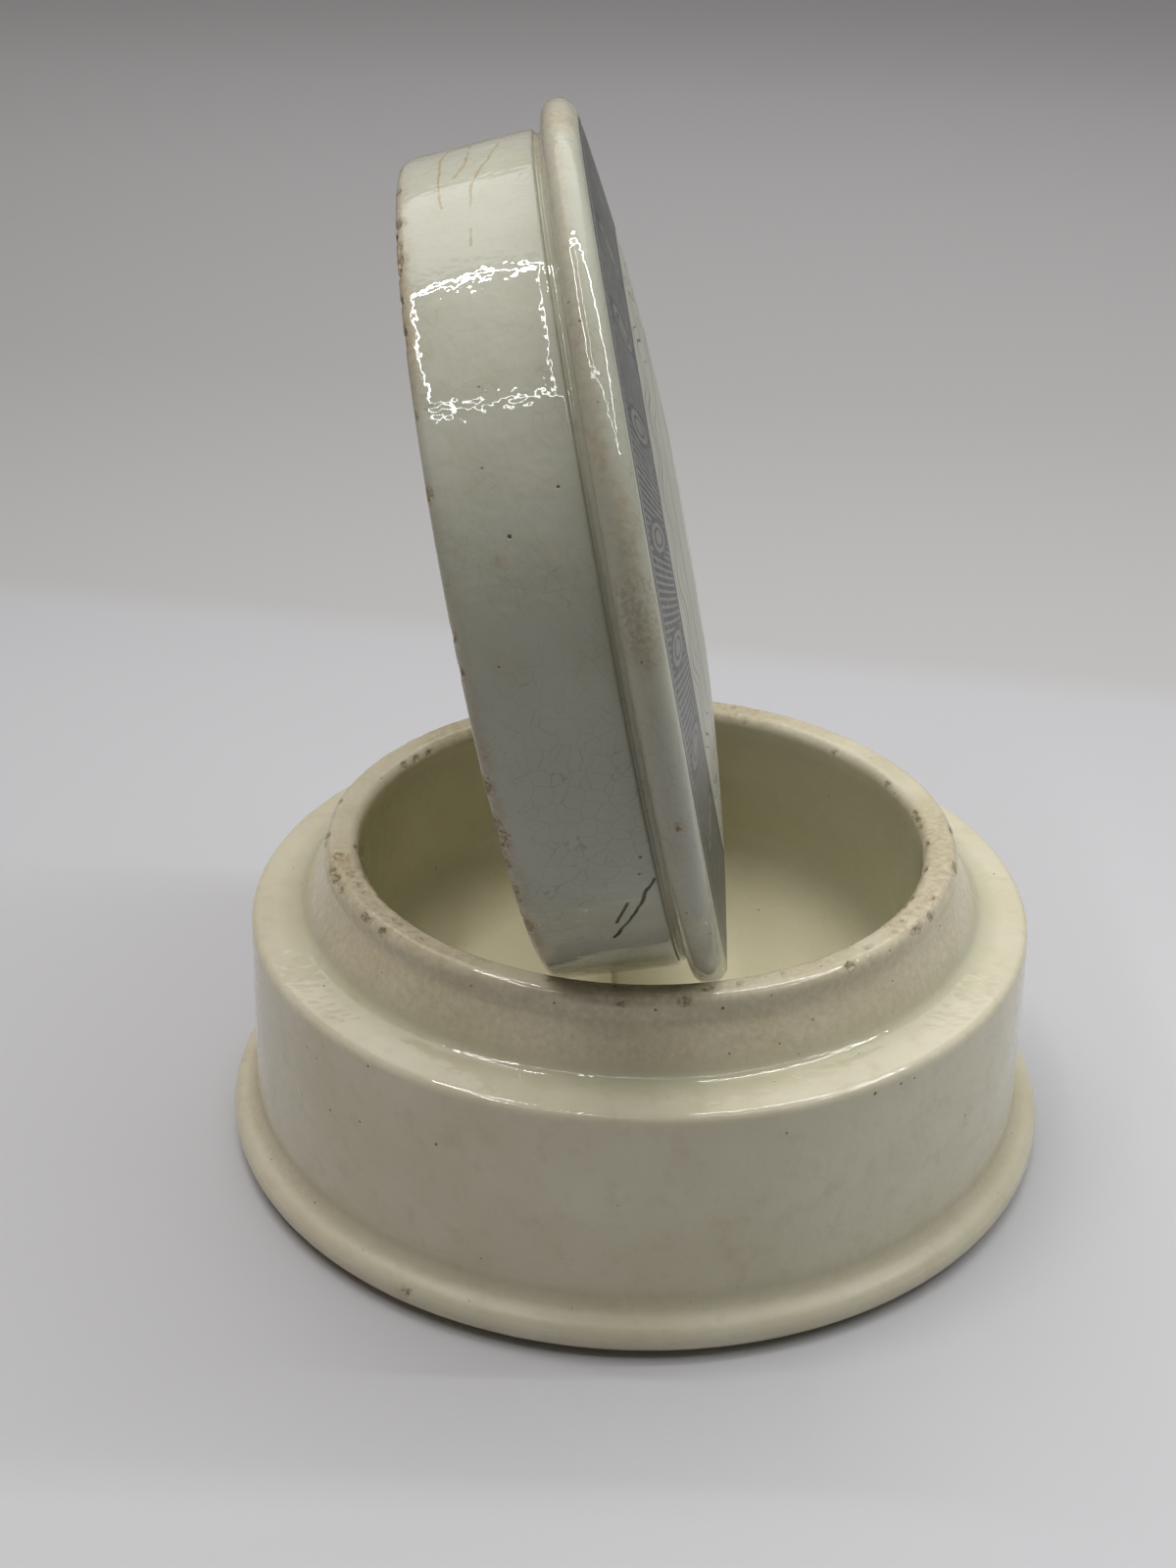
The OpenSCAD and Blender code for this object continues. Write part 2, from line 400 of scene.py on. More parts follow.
def chipped(points, chips):
    """Scoops shell-shaped chips out of an edge and says how bare each point is left."""
    bare = np.zeros(len(points))
    for edge, outward, ball, depth in chips:
        middle = np.array(edge) + np.array(outward) * (ball - depth)
        away = points - middle
        reach = np.linalg.norm(away, axis=1)
        near = reach < ball
        waves = away * LUMP_WAVES
        lumps = CHIP_LUMPS * np.sin(waves[:, 0] + waves[:, 1]) * np.sin(waves[:, 2])
        lumpy = ball * (1 + lumps)
        points[near] = middle + away[near] * (lumpy[near] / reach[near])[:, None]
        bare = np.maximum(bare, ramp_up(ball - reach, 0, CHIP_BORDER * depth))
    return bare


def edge_chip(degrees, radius, height, lean, ball, depth):
    """A chip at an angle round the piece; lean is the way out, in degrees up from level."""
    turn = math.radians(degrees)
    tilt = math.radians(lean)
    edge = (radius * math.cos(turn), radius * math.sin(turn), height)
    outward = (math.cos(tilt) * math.cos(turn), math.cos(tilt) * math.sin(turn), math.sin(tilt))
    return edge, outward, ball, depth


# How much of a mark's reach its soft border takes
MARK_SOFT = 0.8


def near_mark(angle, height, degrees, at, wide, tall):
    """1 at a mark on the surface, falling to 0 at its borders; sizes in degrees and millimetres."""
    turn = (np.degrees(angle) - degrees + 180) % 360 - 180
    return ramp_up(1 - np.hypot(turn / wide, (height - at) / tall), 0, MARK_SOFT)


def near_ring(distance, reach):
    """1 on a ring that runs round the whole piece, falling to 0 at its borders."""
    return ramp_up(1 - np.abs(distance) / reach, 0, MARK_SOFT)


# Uneven throwing: how far in the walls drift, and how far down the pot's walls do, in millimetres
RIPPLE = 0.035
SAG = 0.03
# Turn of those ripples with height, in radians per millimetre
POT_TWIST = 0.02
LID_TWIST = 0.03

# Small chips: seeds of their places, size of the scoop, and depth, in millimetres
POT_CHIP_SEED = 11
LID_CHIP_SEED = 23
SMALL_SCOOP = (0.35, 0.8)
POT_CHIP_DEPTH = (0.1, 0.26)
LID_CHIP_DEPTH = (0.08, 0.2)

# Small chips on the pot's rim: how many, from and to which angle, and distance from the axis
RIM_CHIPS = ((70, -150, -25, 27.5), (45, -180, 180, 27.5), (40, -180, 180, 30.3), (34, -175, -30, 29))
RIM_CHIP_SPREAD = 0.25
RIM_MIDDLE_R = 29
# Way out of such a chip: on the rim's top, on its inner round and on its outer round
TOP_LEAN = 90
IN_LEAN = 150
OUT_LEAN = 40

# Single chips on the pot: degrees, distance from the axis, height, way out, size of the scoop, depth
SINGLE_CHIPS = ((-165.4, 29.0, RIM_H - 0.1, 80, 1.5, 0.3), (-24.3, 29.4, RIM_H - 0.1, 80, 0.9, 0.2),
                (-82, FOOT_R - 0.15, 3.3, 30, 0.8, 0.12), (-119, FOOT_R - 0.3, 2.9, 10, 0.8, 0.04))

# Where the lid's ends stand over the rim, and shade is painted on the rim there with some grime: degrees
# and reach
UNDER_LID = ((-93, 26), (100, 20))
# The side where the rim's inner edge is worn most, in degrees
WORN_SIDE = -85

# Distances from the axis over which the pot's walls, the painted shade and grime under the lid and the
# foot's edge come in
WALLS_R = (26, 27)
UNDER_LID_R = (26, 27.5)
FOOT_EDGE_R = (37, 39)
# Heights over which the walls, the rim, the collar's painted shade and the upper part of the inside come in
WALLS_H = (1, 4)
RIM_BAND_H = (RIM_H - 1.4, RIM_H - 0.3)
COLLAR_BAND_H = (COLLAR_FOOT_H, COLLAR_FOOT_H + 2)
UPPER_H = (11, 16)
# Middle of the cove's dirt in radius and height, and reach of the dirt there and of the pooled fillet
COVE_DIRT = (BODY_LOW_R + 0.3, 4.6)
COVE_DIRT_REACH = 1.9
FILLET_REACH = 2.6

# How strongly each mark on the pot shows, painted shade among them, and how much of the inside's painted
# fill light its upper part keeps, from 0 to 1
POT_CHIP_BARE = 0.75
POT_EDGE_BARE = 0.8
RIM_GRIME = 0.38
RIM_GRIME_DRIFT = 0.3
UNDER_LID_SHADE_AND_GRIME = 0.22
COVE_GRIME = 0.15
FOOT_LINE_GRIME = 0.8
COLLAR_WALL_SHADE = 0.35
FILLET_POOLED = 0.4
COVE_POOLED = 0.15
UPPER_INSIDE_SHADE = 0.5
UPPER_INSIDE_FILL = 0.15


def wear_pot(mesh):
    """Throwing ripples, rim chips, where the pot's glaze is bare, dirty or pooled, and where shade and fill
    light are painted on.
    """
    points = points_of(mesh)
    radius = np.hypot(points[:, 0], points[:, 1])
    angle = np.arctan2(points[:, 1], points[:, 0])
    height = points[:, 2].copy()
    walls = ramp_up(radius, *WALLS_R) * ramp_up(height, *WALLS_H)
    inward = RIPPLE * (1 + drift(angle + height * POT_TWIST, 3, (2, 3, 4, 7))) * walls
    points[:, :2] *= (1 - inward / np.maximum(radius, 1))[:, None]
    points[:, 2] -= SAG * (1 + drift(angle, 5, (2, 3, 5))) * walls
    rng = random.Random(POT_CHIP_SEED)
    chips = []
    for count, low, high, about in RIM_CHIPS:
        for _ in range(count):
            at = about + rng.uniform(-RIM_CHIP_SPREAD, RIM_CHIP_SPREAD)
            off_middle = abs(at - RIM_MIDDLE_R)
            top = RIM_H - 0.12
            if off_middle > 0.6:
                top = RIM_H - 0.2 - 0.35 * off_middle
            lean = TOP_LEAN if off_middle < 1 else (IN_LEAN if at < RIM_MIDDLE_R else OUT_LEAN)
            chips.append(edge_chip(rng.uniform(low, high), at, top, lean,
                                   rng.uniform(*SMALL_SCOOP), rng.uniform(*POT_CHIP_DEPTH)))
    chips += [edge_chip(*chip) for chip in SINGLE_CHIPS]
    bare = chipped(points, chips)

    rim = ramp_up(height, *RIM_BAND_H)
    inner_rim = rim * ramp_up(RIM_MIDDLE_R - radius, 0, 1.3)
    patches = ramp_up(drift(angle * 3, 8, (7, 12, 19, 31), 0.9), -0.1, 0.7)
    worn_edge = inner_rim * patches * ramp_up(np.cos(angle - math.radians(WORN_SIDE)), 0.3, 0.9)
    # Under each end of the lid the rim gets painted shade, with some brown grime in it
    under_lid = [near_mark(angle, height, degrees, RIM_H - 1, wide, 4) for degrees, wide in UNDER_LID]
    grime_and_shade = rim * (RIM_GRIME + RIM_GRIME_DRIFT * drift(angle, 9, (3, 5, 11, 17)))
    grime_and_shade += UNDER_LID_SHADE_AND_GRIME * np.maximum(*under_lid) * ramp_up(radius, *UNDER_LID_R)
    fillet = near_ring(np.hypot(radius - COLLAR_FOOT_R, height - COLLAR_FOOT_H), FILLET_REACH)
    cove = near_ring(np.hypot(radius - COVE_DIRT[0], height - COVE_DIRT[1]), COVE_DIRT_REACH)
    foot_line = ramp_up(1.2 - height, 0, 1) * ramp_up(radius, *FOOT_EDGE_R)
    low_grime = COVE_GRIME * cove * (1 + drift(angle, 21)) + FOOT_LINE_GRIME * foot_line
    grime_and_shade = np.maximum(grime_and_shade, low_grime)
    # Painted shade, in the grime's tan, darkens the collar's outer wall above its foot
    collar = walls * ramp_up(height, *COLLAR_BAND_H)
    collar *= (radius > RIM_MIDDLE_R + 1) * (radius < COLLAR_FOOT_R)
    grime_and_shade = np.maximum(grime_and_shade, COLLAR_WALL_SHADE * collar)
    inside = ramp_up(BORE_R + 0.3 - radius, 0, 0.4) * ramp_up(RIM_IN_H - 0.6 - height, 0, 1.5)
    upper = ramp_up(height, *UPPER_H)
    # Pooled glaze in the fillet and cove, and a painted olive shade high on the inside wall
    pooled_and_shade = fillet * FILLET_POOLED + cove * COVE_POOLED + UPPER_INSIDE_SHADE * inside * upper

    store(mesh, "own_mm", points)
    store(mesh, "bare", np.clip(POT_CHIP_BARE * bare + POT_EDGE_BARE * worn_edge, 0, 1) * (height > 2))
    store(mesh, "grime_and_shade", np.clip(grime_and_shade, 0, 1))
    store(mesh, "pooled_and_shade", np.clip(pooled_and_shade, 0, 1))
    # The inside's lighter colour is painted fill light, kept mostly low down
    store(mesh, "inside", inside * (1 - (1 - UPPER_INSIDE_FILL) * upper))
    store(mesh, "rubbed", ramp_up(8 - height, 0, 3) * walls)
    mesh.vertices.foreach_set("co", (points * MM).ravel())
    mesh.update()


# Chips on the lid's open edge: degrees from its lowest point, size of the scoop, depth
LID_EDGE_CHIPS = ((189, 1.2, 0.2), (198, 1.4, 0.25), (203, 1.0, 0.2), (205.5, 1.3, 0.25), (238, 1.0, 0.15),
                  (274, 1.2, 0.22), (279.5, 1.3, 0.25), (281.7, 2.2, 0.42), (285, 1.0, 0.2),
                  (286.3, 0.9, 0.2), (291, 1.2, 0.25), (293, 1.0, 0.2), (299, 1.7, 0.35),
                  (52, 1.6, 0.3), (119, 1.3, 0.25))
EDGE_CHIP_LEAN = -50
# Small chips along that edge: how many, and the way out on its flat, its outer and its inner round
SMALL_EDGE_CHIPS = 90
FLAT_EDGE_LEAN = -90
OUTER_EDGE_LEAN = -55
INNER_EDGE_LEAN = -125
EDGE_MIDDLE_R = 35
# Chips on the lid's bead: degrees and distance from the open edge, then way out, scoop and depth
BEAD_CHIPS = ((281, 14.2), (262, 15), (190, 14.8))
BEAD_CHIP = (10, 0.45, 0.2)

# Stains on the lid's outside: degrees, distance from the open edge, and their reach both ways
LID_STAINS = ((259, 14, 5, 2.0), (246, 14.4, 9, 1.3), (238, 13.4, 7, 1.1), (185, 14.6, 7, 1.5),
              (289, 0.6, 12, 1.6), (205, 0.4, 8, 1.3), (247, 4.5, 1.3, 0.9), (221, 1.6, 1.6, 0.7),
              (20, 14, 12, 2), (80, 13.5, 6, 2))

# Where the lid stands in the pot: degrees, distance from the open edge, and reach both ways
FOOT_REST = (0, 7, 40, 9)

# How far the skirt rolls in at both its ends, and how near to them, in millimetres
SKIRT_ROLL = 0.12
ROLL_AT_EDGE = 2.4
ROLL_AT_GROOVE = 2.2

# Distances from the open edge over which the bead and the face come in, and the bead's radii
BEAD_S = (12.2, 13)
FACE_S = (15.2, 15.7)
BEAD_R = (38, 39)
# Middle of the bead's flank, and reach of the dirt there and in the groove
FLANK_S = 13.2
FLANK_REACH = 1.5
GROOVE_REACH = 0.9
# The inside ends at this distance from the open edge, and the middle of the face within this radius
INSIDE_S = 14.5
FACE_MIDDLE_R = 10

# How strongly each mark on the lid shows, from 0 to 1
LID_CHIP_BARE = 0.8
BEAD_BARE = 0.25
STAIN_GRIME = 0.5
EDGE_GRIME = 0.4
GROOVE_GRIME = 0.25
FLANK_GRIME = 0.3
FOOT_REST_GRIME = 0.35
GROOVE_POOLED = 0.15
FACE_RUBBED = 0.7


def wear_lid(mesh):
    """Slight warp, chips along the open edge, and where the lid's glaze is bare, dirty or pooled."""
    points = points_of(mesh)
    radius = np.hypot(points[:, 0], points[:, 1])
    angle = np.arctan2(points[:, 1], points[:, 0])
    station = points[:, 2].copy()
    outer = ramp_up(radius, LID_BORE_R + 1, LID_BORE_R + 3)
    inward = RIPPLE * (1 + drift(angle + station * LID_TWIST, 13, (2, 3, 4, 9))) * outer
    on_skirt = outer * (station < SKIRT_LEN)
    roll = ramp_up(ROLL_AT_EDGE - station, 0, ROLL_AT_EDGE)
    roll += ramp_up(station, SKIRT_LEN - ROLL_AT_GROOVE, SKIRT_LEN)
    inward += SKIRT_ROLL * roll ** 2 * on_skirt
    points[:, :2] *= (1 - inward / np.maximum(radius, 1))[:, None]
    rng = random.Random(LID_CHIP_SEED)
    chips = []
    for degrees, ball, depth in LID_EDGE_CHIPS:
        chips.append(edge_chip(degrees, SKIRT_R - 0.35, 0.3, EDGE_CHIP_LEAN, ball, depth))
    for _ in range(SMALL_EDGE_CHIPS):
        at = rng.uniform(LID_BORE_R + 0.2, SKIRT_R - 0.2)
        on_flat = LID_BORE_R + 1 < at < SKIRT_R - 1
        lean = FLAT_EDGE_LEAN if on_flat else (OUTER_EDGE_LEAN if at > EDGE_MIDDLE_R else INNER_EDGE_LEAN)
        low = 0.0 if on_flat else 0.25
        chips.append(edge_chip(rng.uniform(0, 360), at, low, lean,
                               rng.uniform(*SMALL_SCOOP), rng.uniform(*LID_CHIP_DEPTH)))
    for degrees, at_station in BEAD_CHIPS:
        chips.append(edge_chip(degrees, LID_R - 0.1, at_station, *BEAD_CHIP))
    bare = chipped(points, chips)

    edge = ramp_up(1.6 - station, 0, 1.2) * outer
    bead = ramp_up(station, *BEAD_S) * ramp_up(radius, *BEAD_R)
    groove = near_ring(np.hypot(radius - SKIRT_TOP_R + 0.3, station - SKIRT_LEN), GROOVE_REACH)
    grime_and_shade = edge * (EDGE_GRIME + EDGE_GRIME * drift(angle, 31, (4, 7, 13, 22)))
    grime_and_shade += groove * (GROOVE_GRIME + GROOVE_GRIME * drift(angle, 33))
    outside = radius > LID_BORE_R + 0.5
    for degrees, at_station, wide, tall in LID_STAINS:
        stain = near_mark(angle, station, degrees, at_station, wide, tall)
        grime_and_shade = np.maximum(grime_and_shade, STAIN_GRIME * stain * outside)
    flank = near_ring(station - FLANK_S, FLANK_REACH) * (radius > SKIRT_TOP_R)
    grime_and_shade = np.maximum(grime_and_shade, FLANK_GRIME * flank * (0.75 + 0.5 * drift(angle, 43, (2, 3, 5, 9))))
    foot_rest = near_mark(angle, station, *FOOT_REST) * outer
    grime_and_shade = np.maximum(grime_and_shade, FOOT_REST_GRIME * foot_rest)
    inside = ramp_up(LID_BORE_R + 0.6 - radius, 0, 0.6) * ramp_up(station, 0.2, 1.4)
    inside *= station < INSIDE_S
    rubbed_bead = bead * ramp_up(drift(angle * 2, 41), 0.5, 1)

    store(mesh, "own_mm", points)
    store(mesh, "bare", np.clip(LID_CHIP_BARE * bare + BEAD_BARE * rubbed_bead, 0, 1))
    store(mesh, "grime_and_shade", np.clip(grime_and_shade, 0, 1))
    store(mesh, "pooled_and_shade", np.clip(GROOVE_POOLED * groove, 0, 1))
    store(mesh, "inside", np.clip(inside, 0, 1))
    store(mesh, "rubbed", FACE_RUBBED * ramp_up(station, *FACE_S) * (radius > FACE_MIDDLE_R))
    placed = np.c_[points * MM, np.ones(len(points))] @ np.array(LID_PLACE).T
    mesh.vertices.foreach_set("co", placed[:, :3].ravel())
    mesh.update()


# Specks in the glaze: angle in degrees, height or distance from the open edge, radius
POT_SPECKS = ((-56.9, 22.8, 0.22), (-52.5, 22.7, 0.2), (-50, 22.6, 0.16), (-116.4, 17.8, 0.18),
              (-129.4, 16.5, 0.14), (-135.6, 15.6, 0.14), (-127.6, 22.9, 0.16), (-141, 20.4, 0.12),
              (-82, 4.6, 0.26), (150, 18, 0.22), (95, 12, 0.18), (40, 20, 0.2))
COLLAR_SPECKS = ((-117.2, 26.9, 0.15), (-76, 29.7, 0.2), (-86.9, 29.9, 0.15), (-103.2, 29.8, 0.13),
                 (30, 28.8, 0.2))
LID_SPECKS = ((-115.4, 5.7, 0.22), (-119.9, 9.9, 0.16), (-72.4, 10.7, 0.2), (-69.4, 10.3, 0.16),
              (-85, 13.4, 0.16), (-101, 3.1, 0.12), (100, 8, 0.2), (35, 5, 0.16))

# Thin lines on the lid's skirt, each a chain of angle and distance from the open edge
STAINED_CRAZES = (((174, 4.7), (181.7, 3.8), (187.3, 3.8), (192.6, 3.7), (197.3, 3.9)),
                  ((174.7, 6.3), (184.9, 6.1), (189.9, 5.1)),
                  ((178.8, 8.9), (186.2, 7.9), (189.6, 7.0), (193.5, 6.5), (206, 6.0)))
INK_STROKES = (((-55.2, 7.0), (-56.8, 7.6), (-61.5, 9.4), (-66.3, 10.7), (-67.9, 11.4)),
               ((-59.3, 7.5), (-63.7, 8.8)))
# Their width in millimetres, strength and colour
CRAZE_LINE = (0.24, 0.45, "#8C6F2C")
INK_LINE = (0.3, 0.95, "#14161A")


def on_wall(degrees, height, top_r, low_r, top_h):
    """A place on a slightly tapered wall, in millimetres."""
    radius = low_r + (top_r - low_r) * height / top_h
    turn = math.radians(degrees)
    return Vector((radius * math.cos(turn), radius * math.sin(turn), height))


# Colours of the marks in the glaze, two of them also used for painted shade, and of the body where it is
# chipped
FRECKLES = "#A99B78"
POOLED_GLAZE_AND_SHADE = "#A9AA88"
CRAZE_DIRT = "#6E5E3E"
GRIME_AND_SHADE = "#9A7F55"
IRON = "#3A3324"
CLEAN_BISCUIT = "#CDBE9A"
SOILED_BISCUIT = "#5F4D30"

GLAZE_IOR = 1.52
# How much grime and painted shade draw pinholes, the sum above which they show, and the strength of
# pinholes and specks
PIN_GRIME = 0.35
PIN_FROM = 0.56
PIN_STRENGTH = 0.6
SPECK_STRENGTH = 0.85
# Roughness that full dirt, bare biscuit, rubbing and clouds add
DIRT_DULL = 0.25
BARE_DULL = 0.55
RUB_DULL = 0.4
CLOUD_DULL = 0.02
# Height of the glaze's relief in millimetres, and how far ripples, marks and bare grains go beside the peel
RELIEF = 0.045
RIPPLE_RELIEF = 2.4
MARK_RELIEF = -1.2
BARE_RELIEF = 3.0
# The noise that bends the thin lines: its share, and its own middle value
WAVER = 0.45
NOISE_MIDDLE = Vector((0.5, 0.5, 0.5))


def glazed_earthenware(name, glaze, deep_glaze, inside_glaze_and_fill, roughness, crazing, specks, lines):
    """Cream-bodied earthenware under a clear, slightly uneven lead glaze.

    The eye sees a bright, wet gloss over a warm cream body with cloudy mottling, a fine net of
    crazing that has taken up some dirt, pinholes, and matt biscuit where the glaze is chipped off.
    """
    material = bpy.data.materials.new(name)
    material.use_nodes = True
    tree = material.node_tree
    shader = tree.nodes["Principled BSDF"]
    own = node(tree, "ShaderNodeAttribute", attribute_name="own_mm").outputs["Vector"]
    grime_and_shade, bare, pooled_and_shade, inside, rubbed = [
        node(tree, "ShaderNodeAttribute", attribute_name=kept).outputs["Fac"]
        for kept in ("grime_and_shade", "bare", "pooled_and_shade", "inside", "rubbed")]

    # Clouds about 12 mm and freckles about 2.5 mm across, as an uneven dip leaves
    clouds = node(tree, NOISE, {"Vector": own, "Scale": 0.08, "Detail": 3.0, "Roughness": 0.55})
    clouds = clouds.outputs["Fac"]
    freckles = node(tree, NOISE, {"Vector": own, "Scale": 0.42, "Detail": 4.0, "Roughness": 0.6})
    freckles = freckles.outputs["Fac"]
    clouded = node(tree, RANGE, {"Value": clouds, "From Min": 0.36, "From Max": 0.66, "To Max": 0.6})
    freckled = node(tree, RANGE, {"Value": freckles, "From Min": 0.52, "From Max": 0.75, "To Max": 0.22})
    colour = linear(glaze)
    # In the pot the inside colour paints fill light, and the pooled colour also paints shade high inside
    for share, paint in ((clouded.outputs[0], deep_glaze), (freckled.outputs[0], FRECKLES),
                         (inside, inside_glaze_and_fill), (pooled_and_shade, POOLED_GLAZE_AND_SHADE)):
        layers = {0: share, UNDER: colour, OVER: linear(paint)}
        colour = node(tree, MIX, layers, data_type="RGBA").outputs[MIXED]

    # Crazing: a net of hairlines with cells about 1.4 mm wide, stained only here and there
    wander = node(tree, NOISE, {"Vector": own, "Scale": 0.6, "Detail": 1.0}).outputs["Color"]
    bent = node(tree, VECTOR_MATH, {0: own, 1: wander}, operation="ADD").outputs[0]
    net = node(tree, "ShaderNodeTexVoronoi", {"Vector": bent, "Scale": 0.7}, feature="DISTANCE_TO_EDGE")
    hairline = node(tree, RANGE, {
        "Value": net.outputs["Distance"], "From Min": 0.004, "From Max": 0.022,
        "To Min": 1.0, "To Max": 0.0})
    taken_up = node(tree, RANGE, {
        "Value": clouds, "From Min": 0.42, "From Max": 0.62, "To Min": 0.2 * crazing, "To Max": crazing})
    crazed = node(tree, MATH, {0: hairline.outputs[0], 1: taken_up.outputs[0]}, operation="MULTIPLY")
    layers = {0: crazed.outputs[0], UNDER: colour, OVER: linear(CRAZE_DIRT)}
    colour = node(tree, MIX, layers, data_type="RGBA").outputs[MIXED]

    # Grime, and painted shade under the lid and on the collar wall: tan in blotches about 0.7 mm across,
    # strongest where the attribute says
    blotch = node(tree, NOISE, {"Vector": own, "Scale": 1.5, "Detail": 5.0, "Roughness": 0.6})
    blotched = node(tree, RANGE, {
        "Value": blotch.outputs["Fac"], "From Min": 0.3, "From Max": 0.72, "To Min": 0.1})
    dirt_and_shade = node(tree, MATH, {0: blotched.outputs[0], 1: grime_and_shade}, operation="MULTIPLY", use_clamp=True)
    layers = {0: dirt_and_shade.outputs[0], UNDER: colour, OVER: linear(GRIME_AND_SHADE)}
    colour = node(tree, MIX, layers, data_type="RGBA").outputs[MIXED]

    # Pinholes, one in a few square millimetres, each about 0.2 mm across
    pins = node(tree, "ShaderNodeTexVoronoi", {"Vector": own, "Scale": 0.5})
    pin = node(tree, RANGE, {
        "Value": pins.outputs["Distance"], "From Min": 0.04, "From Max": 0.075,
        "To Min": 1.0, "To Max": 0.0})
    crowd = node(tree, MATH, {0: grime_and_shade, 1: PIN_GRIME, 2: freckles}, operation="MULTIPLY_ADD")
    rare = node(tree, MATH, {0: crowd.outputs[0], 1: PIN_FROM}, operation="GREATER_THAN")
    pinhole = node(tree, MATH, {0: pin.outputs[0], 1: rare.outputs[0]}, operation="MULTIPLY")
    marks = node(tree, MATH, {0: pinhole.outputs[0], 1: PIN_STRENGTH}, operation="MULTIPLY").outputs[0]

    # Specks of iron in the clay, placed one by one
    for place, size in specks:
        apart = node(tree, VECTOR_MATH, {0: own, 1: place}, operation="DISTANCE").outputs["Value"]
        speck = node(tree, RANGE, {
            "Value": apart, "From Min": 0.5 * size, "From Max": size,
            "To Min": SPECK_STRENGTH, "To Max": 0.0})
        marks = node(tree, MATH, {0: marks, 1: speck.outputs[0]}, operation="MAXIMUM").outputs[0]

    # Thin lines, by a point's distance from each stretch, on places bent a little
    wavering = node(tree, VECTOR_MATH, {0: wander, 1: (WAVER, WAVER, WAVER), 2: own},
                    operation="MULTIPLY_ADD").outputs[0]
    for start, end, width, strength, ink in lines:
        along = end - start
        from_start = node(tree, VECTOR_MATH, {0: wavering, 1: start + WAVER * NOISE_MIDDLE},
                          operation="SUBTRACT").outputs[0]
        share = node(tree, VECTOR_MATH, {0: from_start, 1: along / along.length_squared},
                     operation="DOT_PRODUCT").outputs["Value"]
        held = node(tree, "ShaderNodeClamp", {"Value": share}).outputs[0]
        nearest = node(tree, VECTOR_MATH, {0: along, "Scale": held}, operation="SCALE").outputs[0]
        apart = node(tree, VECTOR_MATH, {0: from_start, 1: nearest}, operation="DISTANCE")
        line = node(tree, RANGE, {
            "Value": apart.outputs["Value"], "From Min": 0.3 * width, "From Max": 0.7 * width,
            "To Min": strength, "To Max": 0.0})
        layers = {0: line.outputs[0], UNDER: colour, OVER: linear(ink)}
        colour = node(tree, MIX, layers, data_type="RGBA").outputs[MIXED]
    layers = {0: marks, UNDER: colour, OVER: linear(IRON)}
    colour = node(tree, MIX, layers, data_type="RGBA").outputs[MIXED]

    # Biscuit where chipped: pale buff, with grains about 0.4 mm across that hold dirt
    grains = node(tree, NOISE, {"Vector": own, "Scale": 2.6, "Detail": 4.0, "Roughness": 0.7})
    grains = grains.outputs["Fac"]
    soiled = node(tree, RANGE, {"Value": grains, "From Min": 0.38, "From Max": 0.62})
    layers = {0: soiled.outputs[0], UNDER: linear(CLEAN_BISCUIT), OVER: linear(SOILED_BISCUIT)}
    biscuit = node(tree, MIX, layers, data_type="RGBA").outputs[MIXED]
    layers = {0: bare, UNDER: colour, OVER: biscuit}
    colour = node(tree, MIX, layers, data_type="RGBA").outputs[MIXED]

    # Gloss: wet where glazed, dull where bare, dirty or painted shaded, rubbed or cloudy
    gloss = roughness
    for dulled, share in ((dirt_and_shade.outputs[0], DIRT_DULL), (bare, BARE_DULL), (rubbed, RUB_DULL)):
        gloss = node(tree, MATH, {0: dulled, 1: share, 2: gloss}, operation="MULTIPLY_ADD").outputs[0]
    smudged = node(tree, MATH, {0: clouds, 1: CLOUD_DULL, 2: gloss},
                   operation="MULTIPLY_ADD", use_clamp=True)

    # Relief: ripples 5 mm and orange peel 1 mm across, pits where marked, grains where bare
    ripple = node(tree, NOISE, {"Vector": own, "Scale": 0.2, "Detail": 1.0}).outputs["Fac"]
    height = node(tree, NOISE, {"Vector": own, "Scale": 1.0, "Detail": 1.0}).outputs["Fac"]
    rough_bare = node(tree, MATH, {0: grains, 1: bare}, operation="MULTIPLY")
    for raised, share in ((ripple, RIPPLE_RELIEF), (marks, MARK_RELIEF),
                          (rough_bare.outputs[0], BARE_RELIEF)):
        height = node(tree, MATH, {0: raised, 1: share, 2: height}, operation="MULTIPLY_ADD").outputs[0]
    bump = node(tree, "ShaderNodeBump", {"Height": height, "Strength": 1.0, "Distance": RELIEF * MM})
    tree.links.new(colour, shader.inputs["Base Color"])
    tree.links.new(smudged.outputs[0], shader.inputs["Roughness"])
    tree.links.new(bump.outputs[0], shader.inputs["Normal"])
    shader.inputs["IOR"].default_value = GLAZE_IOR
    return material


PRINT_INK = "#1E232B"
# Printed rings, petals and scallops: waves in a turn, their reach, and each line's inner and outer radius
PRINT_LINES = ((0, 0, ((4.4, 4.6), (19.2, 19.4), (28.2, 28.8), (37.0, 37.3), (37.5, 38.1))),
               (8, 1.9, ((6.6, 6.8), (7.5, 7.7), (8.6, 9.0))),
               (24, 1.1, ((22.2, 22.45), (24.6, 24.9), (26.2, 26.4))))

# Hatched band of the print: its inner and outer radius, and hatches in a turn
BAND_IN = 28.8
BAND_OUT = 37.0
HATCHES = 360
# Slant of a hatch, in radians of its wave per millimetre, and the height above which that wave is ink
HATCH_SLANT = 1.9
HATCH_FROM = -0.35
# Strength of the ink that has bled between the hatches
BLEED = 0.62

# Ovals in that band: how many, the radius of their middles, and half their size both ways
OVALS = 24
OVAL_AT = 32.8
OVAL_HALF_WIDE = 1.5
OVAL_HALF_TALL = 3.7
# The two lines of an oval, as shares of its size: where each runs, and half its width
OVAL_OUTLINE = (0.9, 0.13)
OVAL_INNER_LINE = (0.45, 0.08)

# Ink lies only beyond this distance from the lid's open edge
FACE_FROM = 14.9


